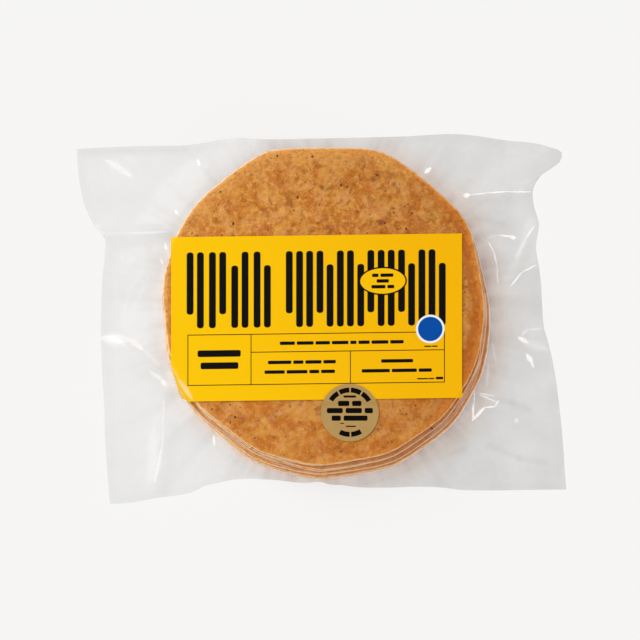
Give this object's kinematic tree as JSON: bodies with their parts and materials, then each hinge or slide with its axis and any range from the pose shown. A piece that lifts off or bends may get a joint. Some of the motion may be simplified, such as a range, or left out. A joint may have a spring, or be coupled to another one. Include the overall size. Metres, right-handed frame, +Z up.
{
  "type": "vacuum pouch of corn tortillas",
  "caption": "Flat stack of corn tortillas in a clear vacuum pouch with wide film margins, a plain yellow card label and a round gold sticker.",
  "frame": {"origin": "middle of the stack's flat underside, on the surface that the pouch lies on", "axes": "+X to the pouch's right-hand edge and +Y to its top edge as the label is read, +Z up out of the labelled face"},
  "size_m": [0.231, 0.1759, 0.0198],
  "materials": {
    "clear_film": "clear glossy film, lightly wrinkled",
    "tortilla": "toasted corn dough, mottled, seen through film",
    "yellow_card": "smooth printed card under film",
    "gold_foil": "satin gold paper",
    "black_ink": "printed ink",
    "blue_ink": "printed ink",
    "white_ink": "printed ink"
  },
  "bodies": {
    "root": {"pouch": "clear_film", "label": "yellow_card", "round_sticker": "gold_foil"}
  },
  "joints": []
}
